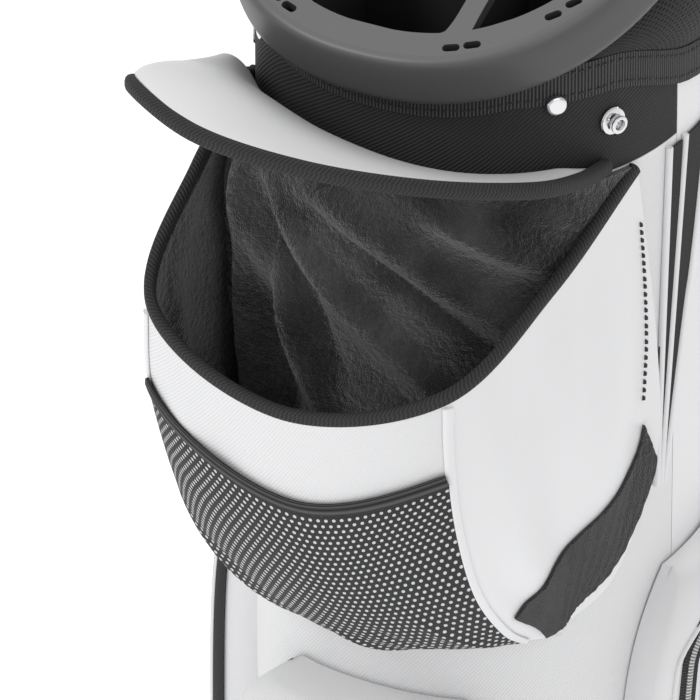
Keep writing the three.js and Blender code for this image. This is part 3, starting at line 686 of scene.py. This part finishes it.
def make_collar():
    rings = 144

    def wall(u, v, side):
        inset, height = spline([(i, h, 0) for i, h in WALL_PROFILE], v)[:2]
        if not side:
            inset, height = (max(inset, 0.0) + 4.0, min(height, 27.0) if v < 1 else 27.0)
        x, y = rim(COLLAR_A - inset, LONG_B - inset, 360 * u)
        return COLLAR_FRAME @ Vector((x, y, height))

    surface("collar_wall", wall, rings, 14, COLLAR, slot="collar_plastic", replaces=["top_collar"])

    def ledge(u, v, side):
        a, b = mix(BODY_A - 1, COLLAR_A - 3, v), mix(BODY_B / math.cos(SLANT) - 1, LONG_B - 3, v)
        return COLLAR_FRAME @ Vector((*rim(a, b, 360 * u), 3.6 - 3.0 * side))

    surface("collar_ledge", ledge, rings, 2, COLLAR, slot="collar_plastic")
    outer = [rim(COLLAR_A - PLATE_INSET, LONG_B - PLATE_INSET, 360 * i / rings) for i in range(rings)]
    holes = [even(well_outline(col, row)) for row in (-1, 0, 1) for col in (-1, 0, 1)]
    for s in (-1, 1):
        for angle in LACE_HOLE_ANGLES:
            x, y = rim(COLLAR_A - LACE_HOLE_INSET, LONG_B - LACE_HOLE_INSET, s * angle)
            holes.append(pill(x, y, math.atan2(x, -y)))
    plate = plate_mesh([outer, *holes], PLATE_HALF_DEPTH, PLATE_BEVEL, SKIRT - 3.6)
    finish_piece("collar_plate", plate, slot="collar_plastic")
    # hand loop behind the rear wall
    path = []
    for i in range(41):
        t = i / 40
        corner = 1 - abs(2 * t - 1) ** 5
        y = LONG_B - 6 + HAND_LOOP_REACH * corner ** 0.45
        path.append(COLLAR_FRAME @ Vector((mix(-HAND_LOOP_HALF, HAND_LOOP_HALF, t), y, HAND_LOOP_HEIGHT)))
    ups = [COLLAR_FRAME.to_3x3() @ Vector((0, 0, 1))] * len(path)
    tube("grab_handle", path, 12, 15, COLLAR, ups=ups, sides=16, flat=0.6, slot="collar_plastic")


# ---------------------------------------------------------------- front pocket
def rear_rail(s):
    seam = [(44, 438), (61, 460), (72, 499), (78, 537), (77, 600), (69.5, HINGE_Z - 6)]
    return [on_body(s * angle, z, 4.6) for angle, z in seam]


# The pocket's skin as seven rails from its foot to its rim, from the left rear round the front.
RAILS = [
    rear_rail(-1),
    [
        (-100, -99, 439), (-112, -105, 480), (-116, -115, 530),
        (-117, -125, 600), (-116, -134, 655), (-115, -137, 700),
    ],
    [
        (-87, -112, 438), (-99, -140, 468), (-104, -164, 505),
        (-107, -187, 560), (-109, -199, 605), (-108, -203, 648),
    ],
    [(0, -139, 433), (0, -165, 447), (0, -190, 476), (0, -213, 518), (-2, -229, 570), (-6, -234, 619)],
    [(85, -114, 438), (88, -146, 462), (87, -180, 505), (85, -200, 560), (84, -207, 605), (84, -209, 641)],
    [
        (100, -99, 439), (109, -106, 488), (113, -116, 530),
        (115, -124, 580), (113, -130, 630), (110, -131, 679),
    ],
    rear_rail(1),
]


def pocket_point(t, w, depth=0.0):
    """A point of the pocket's skin: t is -1..1 from left to right, w 0..1 from foot to rim."""
    row = [spline(rail, w) for rail in RAILS]
    s = (t + 1) / 2
    p = spline(row, s)
    if depth:
        along = spline(row, min(1, s + 0.01)) - spline(row, max(0, s - 0.01))
        up = pocket_point(t, min(1, w + 0.02)) - pocket_point(t, max(0, w - 0.02))
        p += up.cross(along).normalized() * depth
    return p


def fold(t, w, t0, w0, t1, w1, width, height):
    """A soft ridge along a line of the cloth, from (t0, w0) to (t1, w1)."""
    dt, dw = t1 - t0, w1 - w0
    along = min(1.0, max(0.0, ((t - t0) * dt + (w - w0) * dw) / (dt * dt + dw * dw)))
    away = math.hypot(t - t0 - along * dt, w - w0 - along * dw)
    ends = math.sin(math.pi * (0.08 + 0.84 * along))
    return height * ends * math.exp(-((away / width) ** 2))


# Each fold: start (t, w), end (t, w), width and height.
GUSSET_FOLDS = [
    (0.44, 0.92, 0.52, 0.2, 0.05, 3.0), (0.58, 0.97, 0.62, 0.3, 0.05, -2.6),
    (0.86, 0.95, 0.78, 0.4, 0.06, 3.4),
    (0.4, 0.5, 0.46, 0.1, 0.04, -2.4), (0.95, 0.85, 0.9, 0.35, 0.035, -2.2), (0.7, 0.9, 0.68, 0.5, 0.04, 2.0),
]
FRONT_FOLDS = [
    (-0.25, 0.95, -0.2, 0.75, 0.035, 1.6), (-0.17, 0.98, -0.12, 0.72, 0.04, -1.2),
    (0.1, 0.98, 0.05, 0.7, 0.09, 0.8),
]


def gusset_lift(t, w):
    return sum(fold(t, w, *f) for f in GUSSET_FOLDS)


def make_pocket_shell():
    def piece(t0, t1, folds, flip=1):
        def place(u, v, side):
            t = mix(t0, t1, u)
            lift = sum(fold(flip * t, v, *f) for f in folds)
            return pocket_point(t, v, (0 if side else 2.4) - lift)
        return place

    surface("pocket_front_skin", piece(-SEAM_T, SEAM_T, FRONT_FOLDS), 48, 40, WHITE, slot="white_shell",
            replaces=["pocket_front"])
    for side, s in (("left", -1), ("right", 1)):
        surface(f"pocket_gusset_{side}_skin", piece(s * SEAM_T, s * 1.0, GUSSET_FOLDS, s), 40, 40, LEATHER,
                slot="white_shell", replaces=[f"pocket_gusset_{side}"])
        heights = [mix(0.02, 0.985, i / 60) for i in range(61)]
        points = [pocket_point(s * SEAM_T, w, -0.8) for w in heights]
        ups = [pocket_point(s * SEAM_T, w, -2) - pocket_point(s * SEAM_T, w) for w in heights]
        tube(f"corner_piping_{side}", points, 6.5, 2.6, LEATHER, ups=ups, sides=12, slot="white_shell")


LINER_FOLDS = [
    (-0.8, 0.9, -0.62, 0.2, 0.05, 6), (-0.66, 0.95, -0.5, 0.3, 0.05, -5), (-0.5, 0.9, -0.42, 0.3, 0.04, 7),
    (0.55, 0.9, 0.62, 0.3, 0.06, 5), (0.75, 0.9, 0.8, 0.3, 0.05, 4),
]
BACK_FOLDS = [
    # start (u, v), end (u, v), width, height; u from left to right, v from foot to hinge
    (0.14, 0.98, 0.20, 0.2, 0.030, 12), (0.22, 1.0, 0.30, 0.15, 0.026, 14), (0.08, 0.85, 0.12, 0.2, 0.04, 9),
    (0.20, 0.96, 0.50, 0.30, 0.030, 10), (0.24, 0.98, 0.66, 0.48, 0.028, 9),
    (0.36, 0.99, 0.86, 0.62, 0.040, 8), (0.62, 0.98, 0.95, 0.74, 0.035, 6),
    (0.45, 0.52, 0.9, 0.30, 0.05, 7), (0.30, 0.80, 0.36, 0.35, 0.018, -7),
    (0.28, 0.92, 0.46, 0.55, 0.016, -6), (0.40, 0.90, 0.72, 0.66, 0.018, -6),
    (0.5, 0.42, 0.7, 0.24, 0.025, 6), (0.55, 0.98, 0.78, 0.84, 0.02, 5), (0.17, 0.6, 0.2, 0.3, 0.016, -8),
]


def make_lining():
    def inside(u, v, side):
        t = mix(-0.985, 0.985, u)
        w = mix(0.06, 1.0, v)
        lift = sum(fold(t, w, *f) for f in LINER_FOLDS) * smooth(1.0, 0.85, w)
        slack = 5.0 * smooth(1.0, 0.7, w) * smooth(0, 0.25, 1 - abs(t))
        return pocket_point(t, w, 4.6 + slack + max(lift, -3) + (1.6 if side else 0))

    surface("pocket_liner_cloth", inside, 110, 48, VELOUR, slot="black_fleece", replaces=["pocket_liner"])

    def back(u, v, side):
        z = mix(450, HINGE_Z - 1, v)
        reach = 68 if z > 520 else mix(46, 68, smooth(440, 530, z))
        angle = mix(-reach, reach, u)
        edge = smooth(0, 0.1, min(u, 1 - u)) * smooth(0, 0.08, 1 - v)
        lift = 3.0 + edge * max(0.0, 6 + 1.3 * sum(fold(u, v, *f) for f in BACK_FOLDS))
        return on_body(angle, z, 0.8 + (lift if side else 0))

    surface("pocket_back_cloth", back, 130, 90, VELOUR, slot="black_fleece", replaces=["pocket_back_lining"])


def make_rim_binding():
    count = 150
    points = []
    for i in range(count + 1):
        t = mix(-1.0, 1.0, i / count)
        p = pocket_point(t, 1, 2.4)
        points.append(p + Vector((0, 0, 2.6)))
    tube("rim_binding", points, 6.6, 8.4, BINDING, sides=16, flat=0.8, slot="black_twill",
         replaces=["pocket_rim_binding"])


def pouch_top(t):
    return 0.735 + 0.03 * math.cos(3.0 * t) - 0.02 * t / SEAM_T


POUCH_FOLDS = [
    (-0.3, 0.45, -0.1, 0.08, 0.02, 3.0), (-0.22, 0.4, 0.0, 0.1, 0.015, -2.5),
    (-0.02, 0.3, 0.12, 0.05, 0.02, 3.0), (0.08, 0.35, 0.2, 0.08, 0.015, -2.0),
    (0.18, 0.4, 0.3, 0.1, 0.02, 2.5), (-0.32, 0.3, -0.2, 0.05, 0.02, 2.5),
]


def make_pouch():
    def netting(u, v, side):
        t = mix(-0.985, 0.985, u) * SEAM_T
        w = mix(0.02, pouch_top(t), v)
        slack = 0.0
        if 0 < u < 1 and 0 < v < 1:
            slack = 2.0 * math.sin(math.pi * u) ** 0.6 * math.sin(math.pi * v) ** 0.7
        lift = sum(fold(t, w, *f) for f in POUCH_FOLDS)
        return pocket_point(t, w, -(1.4 + slack + max(lift, -1.5) + (0.5 if side else 0)))

    surface("pouch_net", netting, 70, 60, NET, slot="mesh_fabric", replaces=["mesh_pouch"])
    count = 80
    points, ups = [], []
    for i in range(count + 1):
        t = mix(-0.97, 0.97, i / count) * SEAM_T
        w = pouch_top(t) + 0.01
        points.append(pocket_point(t, w, -2.6))
        ups.append(pocket_point(t, w, -2) - pocket_point(t, w, 2))
    tube("pouch_elastic", points, 8.5, 2.6, GROSGRAIN, ups=ups, sides=14, flat=0.5, slot="trim_webbing",
         replaces=["mesh_band"])


# The strip is a crescent in the gusset's lower rear corner, in the pocket's own (t, w): it runs from
# STRIP_TOP on the rear edge to STRIP_TIP by the corner seam, between an ellipse and the rounded corner.
STRIP_TOP, STRIP_TIP = 0.66, 0.36
STRIP_MARGIN = 0.02
STRIP_INNER_REACH = (0.58, 0.42)


def strip_edges(v):
    """The crescent's inner and outer edge, v from its top behind to its tip in front."""
    turn = math.pi / 2 * mix(0.03, 0.97, v)
    over, down = math.cos(turn), math.sin(turn)
    inner = (STRIP_TIP + STRIP_INNER_REACH[0] * over, STRIP_TOP - STRIP_INNER_REACH[1] * down)
    wide, tall = 1 - STRIP_TIP - STRIP_MARGIN / 2, STRIP_TOP - STRIP_MARGIN
    outer = (STRIP_TIP + wide * over**0.6, STRIP_TOP - tall * down**0.6)
    return Vector((*inner, 0)), Vector((*outer, 0))


def make_pile_strips():
    for side, s in (("left", -1), ("right", 1)):
        def place(u, v, face, s=s):
            inner, outer = strip_edges(v)
            t, w, _ = inner.lerp(outer, u)
            rough = 0.4 * math.sin(90 * v + 9 * u) * math.sin(23 * u + 31 * v)
            return pocket_point(s * t, w, -(0.9 + gusset_lift(t, w) + (1.8 + rough) * face))
        surface(f"pile_strip_{side}_cloth", place, 18, 90, PILE, slot="black_fleece",
                replaces=[f"pile_strip_{side}"])

        def seam(v, s=s):
            t, w = mix(0.945, 0.985, v), mix(0.70, 0.95, v)
            p = pocket_point(s * t, w, -0.4 - gusset_lift(t, w))
            return p, pocket_point(s * t, w, -2) - pocket_point(s * t, w, 1)
        stitches(f"gusset_stitch_{side}", seam, DARK_THREAD, slot="white_shell")


# ---------------------------------------------------------------- lid
# The lid's free edge, from the left end of the seam round the tip to the right end.
LID_EDGE = [
    (-112, -73, 732), (-117, -120, 748), (-115, -178, 777), (-101, -229, 806), (-48, -256, 803),
    (15, -251, 795), (72, -217, 781), (109, -152, 757), (113, -105, 741), (112, -73, 732),
]


def lid_seam(u):
    """The curved seam on the black band, from left to right."""
    x = mix(-112, 112, u)
    a, b = BODY_A + 2.0, BODY_B + 2.0
    return Vector((x, -b * (1 - abs(x / a) ** SUPER) ** (1 / SUPER), HINGE_Z + 3.0))


def lid_point(u, v, depth=0.0):
    seam, edge = lid_seam(u), spline(LID_EDGE, u)
    p = seam.lerp(edge, v)
    full = min(1.0, 3.0 * math.sin(math.pi * u)) if 0 < u < 1 else 0.0
    arch = math.sin(math.pi * v ** mix(0.95, 0.66, smooth(0.2, 0.6, u))) if 0 < v < 1 else 0.0
    arch = max(0.0, arch) ** mix(0.5, 0.8, smooth(0.2, 0.6, u))
    dome = mix(27, 8, smooth(0.25, 0.75, u)) * full * arch
    return p + Vector((0, 0, dome - depth * (0.25 + 0.75 * full)))


def make_lid():
    def hang(made):
        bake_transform(made)

    def top(u, v, side):
        return lid_point(u, v * 0.985, 0 if side else 3.4)

    def lining(u, v, side):
        return lid_point(u, mix(0.03, 0.965, v), 6.4 if side else 3.8)

    hang(surface("lid_top", top, 80, 40, LEATHER, body=None, slot="white_shell",
                 replaces=["lid_panel", "lid_hinge_web"]))
    hang(surface("lid_lining_cloth", lining, 80, 40, VELOUR, body=None, slot="black_fleece",
                 replaces=["lid_lining"]))
    count = 140
    points = [lid_point(mix(0.004, 0.996, i / count), 1.0, 3.0) for i in range(count + 1)]
    hang(tube("lid_edge_binding", points, 8.5, 9.5, BINDING, sides=16, flat=0.75, body=None,
              slot="black_twill", replaces=["lid_binding"]))


# ---------------------------------------------------------------- zipped pockets
BALL = dict(start=-40, end=40, low=92, high=396, bulge=38)
SIDE = dict(start=66, end=136, low=84, high=452, bulge=27)
SIDE_LEFT = {**SIDE, "start": -SIDE["start"], "end": -SIDE["end"]}
ZIP_INSET, PIPING_INSETS = 0.13, (0.08, 0.19)


def on_pocket(p, u, v, grow):
    """A point over the pocket's outline, which narrows towards its arched top."""
    spread = abs(2 * u - 1) * (1 - 0.45 * v**9)
    angle = mix((p["start"] + p["end"]) / 2, p["start"] if u < 0.5 else p["end"], spread)
    return on_body(angle, mix(p["low"], p["high"], v), grow)


def stuffed_point(p, u, v):
    """A point of the pocket's rounded face."""
    swell = max(0.0, (1 - abs(2 * u - 1) ** 4) * (1 - abs(2 * v - 1) ** 5)) ** 0.35
    return on_pocket(p, u, v, 1.4 + 6 + p["bulge"] * swell)


def outward_at(p, u, v):
    along = stuffed_point(p, min(1, u + 0.01), v) - stuffed_point(p, max(0, u - 0.01), v)
    up = stuffed_point(p, u, min(1, v + 0.01)) - stuffed_point(p, u, max(0, v - 0.01))
    n = along.cross(up).normalized()
    c = stuffed_point(p, u, v)
    return n if n.x * c.x + n.y * c.y > 0 else -n


def loop_points(p, inset, count, grow):
    """Points round the pocket's face: up one side, over the arched top and down the other."""
    points, normals = [], []
    for i in range(count + 1):
        t = i / count
        if t < 0.4:
            u, v = inset, mix(0.1, 0.86, t / 0.4)
        elif t < 0.6:
            turn = math.pi * (t - 0.4) / 0.2
            u, v = 0.5 - (0.5 - inset) * math.cos(turn), 0.86 + 0.1 * math.sin(turn)
        else:
            u, v = 1 - inset, mix(0.86, 0.1, (t - 0.6) / 0.4)
        n = outward_at(p, u, v)
        points.append(stuffed_point(p, u, v) + n * grow)
        normals.append(n)
    return points, normals


def make_stuffed(name, p, look):
    def place(u, v, side):
        return stuffed_point(p, u, v) if side else on_pocket(p, u, v, 1.2)

    pocket = surface(f"{name}_cloth", place, 56, 64, look, slot="white_shell", replaces=[name])
    points, normals = loop_points(p, ZIP_INSET, 220, 0.2)
    tube(f"{name}_zip_tape", points, 12, 1.0, WEBBING, ups=normals, sides=8, flat=0.4, slot="trim_webbing")
    points, normals = loop_points(p, ZIP_INSET, 220, 0.8)
    tube(f"{name}_zip_coil", points, 4.2, 2.2, ZIP_TEETH, ups=normals, sides=8, slot="white_shell")
    for inset in PIPING_INSETS:
        points, normals = loop_points(p, inset, 160, 0.4)
        tube(f"{name}_piping_{int(inset * 100)}", points, 3.0, 3.0, LEATHER, ups=normals, sides=8,
             slot="white_shell")


# A dark twill strip along the front edge of the left side pocket only; the right side pocket has none.
def make_flank_strip():
    def place(u, v, face):
        at, height = mix(0.015, 0.06, u), mix(0.05, 0.93, v)
        lift = outward_at(SIDE_LEFT, at, height) * (0.3 + 0.9 * face)
        return stuffed_point(SIDE_LEFT, at, height) + lift

    surface("flank_strip_left", place, 6, 60, TWILL, slot="black_twill")


ZIP_TEETH = ribbed_cloth("zip_teeth", grey(0.2), grey(0.75), 1.8, 90, 0.8, roughness=0.4)


# ---------------------------------------------------------------- accents, studs and hardware
def make_insets():
    """Two dark tapering strips on each side with piping between and beside them."""
    strips = {"front": (79.0, 85.2, 2.2), "rear": (81.0, 93.0, 3.4)}
    pipings = {"front": (78.6, 82.2), "middle": (80.0, 88.5), "rear": (81.4, 97.4)}
    for side, s in (("left", -1), ("right", 1)):
        for which, (foot, head, half) in strips.items():
            def place(u, v, face, s=s, foot=foot, head=head, half=half):
                spread = mix(0.3, half, smooth(0, 0.35, v))
                angle = mix(foot, head, v) + mix(-spread, spread, u)
                return on_body(s * angle, mix(514, 720, v), 0.9 + 1.2 * face)
            surface(f"inset_{side}_{which}", place, 10, 40, TWILL, slot="black_twill",
                    replaces=[f"side_inset_{side}"] if which == "front" else [])
        for which, (foot, head) in pipings.items():
            points = [on_body(s * mix(foot, head, i / 60), mix(508, 722, i / 60), 1.8) for i in range(61)]
            ups = [Vector((p.x, p.y, 0)) for p in points]
            tube(f"inset_piping_{side}_{which}", points, 4.2, 4.2, LEATHER, ups=ups, sides=10,
                 slot="white_shell")


# Turned profiles as (radius, height).
STUD = [
    (0, 0), (8.2, 0), (8.4, 0.8), (7.8, 1.7), (6.2, 2.1), (5.2, 2.3), (4.9, 3), (4.8, 5.2), (5.4, 6.1),
    (5.3, 7), (4.5, 7.4), (3.3, 7.3), (2.8, 6.6), (2.7, 3.2), (0, 3.2),
]
RIVET = [(0, 0), (6.0, 0), (6.2, 0.8), (5.8, 2.4), (5.1, 3.0), (4.2, 3.2), (0.6, 3.3), (0, 3.3)]


def make_studs():
    for side, s in (("left", -1), ("right", 1)):
        for kind, profile, angle, z, out, cad in (
            ("stud", STUD, 62, 758, 0.8, "hood_stud"), ("rivet", RIVET, 45, 778, 1.9, "collar_rivet"),
        ):
            centre = on_body(s * angle, z, out)
            ahead = on_body(s * angle + 1, z, out) - centre
            outward = Vector((ahead.y, -ahead.x, 0)).normalized() * s
            lathe(f"{kind}_{side}_metal", profile, centre, outward, CHROME, slot="chrome_metal",
                  replaces=[f"{cad}_{side}"])


# ---------------------------------------------------------------- shoulder strap
STRAP_LOW, STRAP_HIGH, STRAP_BOW, STRAP_Y = 252.0, 776.0, 92.0, BODY_B + 0.4
STRAP_STANDOFF = 18
PAD_HALF_WIDTH, PAD_CHANNEL = 31, 0.62


def strap_at(s):
    """A point on the strap's bow and its outward direction, s from the lower to the upper end."""
    def on_bow(r):
        bow = (STRAP_BOW - STRAP_STANDOFF) * max(0.0, math.sin(math.pi * r)) ** 0.8
        return Vector((0, STRAP_Y + STRAP_STANDOFF + bow, mix(STRAP_LOW, STRAP_HIGH, r)))
    along = on_bow(s + 0.002) - on_bow(s)
    return on_bow(s), Vector((0, along.z, -along.y)).normalized()


def make_strap_pad():
    def half_width(v):
        return mix(22, PAD_HALF_WIDTH, smooth(0, 0.08, min(v, 1 - v)))

    def place(u, v, side):
        p, n = strap_at(mix(0.16, 0.86, v))
        across = 2 * u - 1
        crown = (1 - abs(across) ** 4) ** 0.5 if abs(across) < 1 else 0.0
        crown *= smooth(0, 0.03, min(v, 1 - v))
        channel = 1.6 * math.exp(-(((abs(across) - PAD_CHANNEL) / 0.05) ** 2)) if side else 0.0
        rise = 2.9 + (4.0 + 9.4 * crown - channel if side else 0)
        return p + Vector((across * half_width(v), 0, 0)) + n * rise

    pad = surface("strap_pad_cloth", place, 40, 90, SPACER, slot="black_fleece", replaces=["strap_pad"])
    for side, s in (("left", -1), ("right", 1)):
        def seam(v, s=s):
            p, n = strap_at(mix(0.18, 0.84, v))
            return p + Vector((s * PAD_CHANNEL * PAD_HALF_WIDTH, 0, 0)) + n * 13.6, n
        stitches(f"strap_stitch_{side}", seam, DARK_THREAD, slot="black_fleece")


def box_uvs(mesh):
    """UVs in metres for a plain solid: each face takes the two axes that it lies along."""
    layer = mesh.uv_layers.new(name="cloth")
    for face in mesh.polygons:
        steep = [abs(c) for c in face.normal]
        first, second = ((1, 2), (0, 2), (0, 1))[steep.index(max(steep))]
        for corner, v in zip(face.loop_indices, face.vertices):
            place = mesh.vertices[v].co
            layer.data[corner].uv = (place[first], place[second])


MATERIAL_OF = {
    "stay": ROD, "divider": DARK_LINING, "strap_tab": WEBBING,
    "strap_ring": CHROME, "strap_webbing": WEBBING, "towel_tab": WEBBING, "towel_ring": CHROME,
    "slider": CHROME, "pull_tab": RUBBER,
}


def dress_cad_nodes():
    for name, item in frame["nodes"].items():
        if item.hide_render:
            continue
        box_uvs(item.data)
        item.data.materials.clear()
        found = [look for key, look in MATERIAL_OF.items() if name.startswith(key) or name.endswith(key)]
        item.data.materials.append(found[0] if found else DARK_PLASTIC)
        item.data.polygons.foreach_set("use_smooth", [True] * len(item.data.polygons))
        item.data.set_sharp_from_angle(angle=math.radians(30))


# ---------------------------------------------------------------- studio
def make_studio():
    bpy.ops.mesh.primitive_plane_add(size=30)
    floor = bpy.context.object
    floor.name = "floor"
    paper, _, paper_surface = shader("floor", grey(0.92), 0.9)
    paper_surface.inputs["Emission Color"].default_value = (1, 1, 1, 1)
    paper_surface.inputs["Emission Strength"].default_value = 0.35
    floor.data.materials.append(paper)
    world = bpy.data.worlds.new("studio")
    bpy.context.scene.world = world
    world.use_nodes = True
    world.node_tree.nodes["Background"].inputs["Color"].default_value = (1, 1, 1, 1)
    world.node_tree.nodes["Background"].inputs["Strength"].default_value = 0.62
    for name, place, size, power in (
        ("key", (-1.6, -2.2, 2.9), 1.2, 42),
        ("fill", (2.4, -1.4, 1.8), 1.8, 10),
        ("back", (0.4, 2.2, 2.6), 1.5, 16),
    ):
        lamp = bpy.data.lights.new(name, "AREA")
        lamp.size, lamp.energy = size, power
        holder = bpy.data.objects.new(name, lamp)
        holder.location = place
        holder.rotation_euler = (Vector((0, 0, 0.6)) - Vector(place)).to_track_quat("-Z", "Y").to_euler()
        bpy.context.scene.collection.objects.link(holder)


def make_camera():
    azimuth, elevation, distance = math.radians(28), math.radians(30), 8.0
    target = Vector((-0.088, 0, 0.522))
    level = math.cos(elevation)
    back = Vector((math.sin(azimuth) * level, -math.cos(azimuth) * level, math.sin(elevation)))
    camera = bpy.data.objects.new("camera", bpy.data.cameras.new("camera"))
    camera.data.lens = 720
    camera.data.sensor_width = 36
    camera.location = target + back * distance
    camera.rotation_euler = (-back).to_track_quat("-Z", "Y").to_euler()
    camera.data.clip_start, camera.data.clip_end = 0.1, 100
    bpy.context.scene.collection.objects.link(camera)
    bpy.context.scene.camera = camera


make_base()
make_body()
make_collar()
make_pocket_shell()
make_lining()
make_rim_binding()
make_pouch()
make_pile_strips()
make_lid()
make_stuffed("ball_pocket", BALL, WHITE)
make_stuffed("side_pocket_right", SIDE, LEATHER)
make_stuffed("side_pocket_left", SIDE_LEFT, LEATHER)
make_flank_strip()
make_insets()
make_studs()
make_strap_pad()
dress_cad_nodes()
make_studio()
make_camera()
scene = bpy.context.scene
scene.view_settings.view_transform = "Standard"
scene.view_settings.look = "None"
